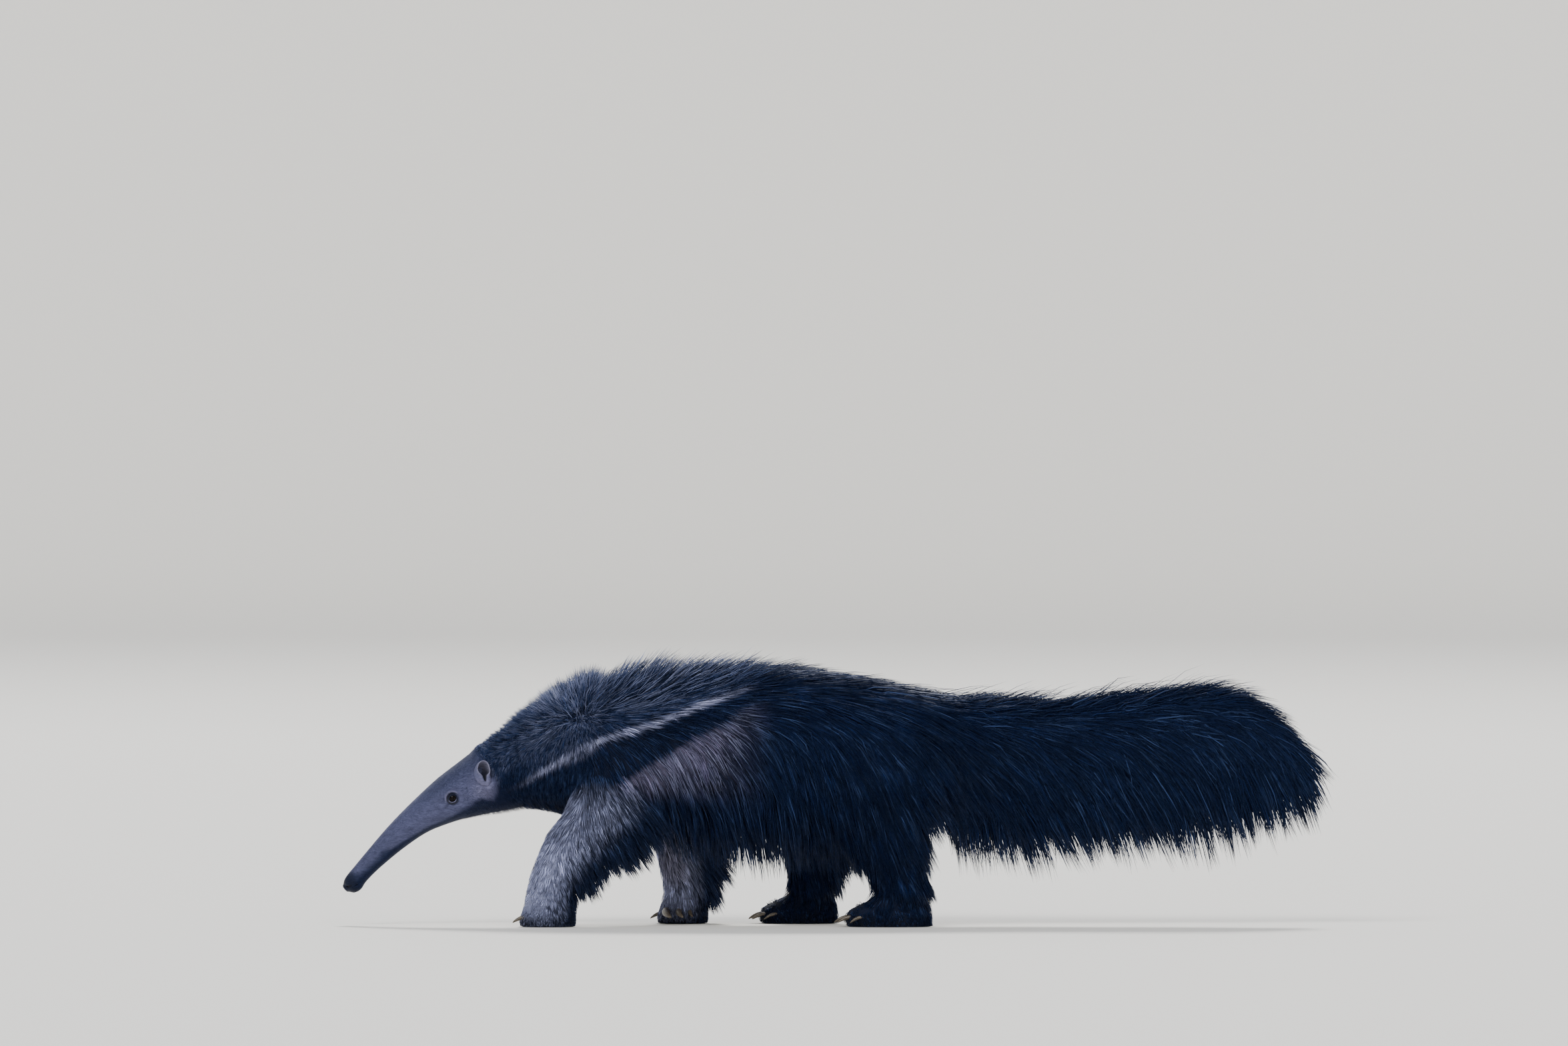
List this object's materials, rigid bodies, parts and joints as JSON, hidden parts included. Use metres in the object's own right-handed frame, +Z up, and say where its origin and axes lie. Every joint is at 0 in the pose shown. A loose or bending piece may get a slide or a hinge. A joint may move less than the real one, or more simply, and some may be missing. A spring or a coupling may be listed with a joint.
{
  "type": "giant anteater",
  "caption": "Adult giant anteater standing with its long snout held low, one forefoot ahead and its long-haired tail held out behind: a still, life-size model.",
  "frame": {"origin": "middle of the bounding box's footprint, on the floor under the animal", "axes": "+Z up; +X runs along the body from head to tail; the animal's left side is towards -Y"},
  "size_m": [1.7682, 0.3066, 0.5065],
  "materials": {
    "short_coat": "short velvety slate-grey fur of the head",
    "long_coat": "coarse long hair, black and grizzled grey with a pale shoulder stripe",
    "tail_coat": "very long coarse black tail hair with a bluish sheen",
    "leg_coat": "frosted grey and black leg hair",
    "ear_skin": "thin skin with velvety short fur",
    "eye": "wet dark brown eye",
    "horn": "worn dark horn of the claws"
  },
  "bodies": {
    "root": {"head": "short_coat", "neck": "long_coat", "torso": "long_coat", "tail": "tail_coat", "ear_left": "ear_skin", "eye_left": "eye", "foreleg_left": "leg_coat", "forefoot_left": "leg_coat", "hindleg_left": "leg_coat", "hindfoot_left": "leg_coat", "foreclaw_left_1": "horn", "foreclaw_left_2": "horn", "foreclaw_left_3": "horn", "foreclaw_left_4": "horn", "hindclaw_left_1": "horn", "hindclaw_left_2": "horn", "hindclaw_left_3": "horn", "hindclaw_left_4": "horn", "hindclaw_left_5": "horn", "ear_right": "ear_skin", "eye_right": "eye", "foreleg_right": "leg_coat", "forefoot_right": "leg_coat", "hindleg_right": "leg_coat", "hindfoot_right": "leg_coat", "foreclaw_right_1": "horn", "foreclaw_right_2": "horn", "foreclaw_right_3": "horn", "foreclaw_right_4": "horn", "hindclaw_right_1": "horn", "hindclaw_right_2": "horn", "hindclaw_right_3": "horn", "hindclaw_right_4": "horn", "hindclaw_right_5": "horn"}
  },
  "joints": []
}
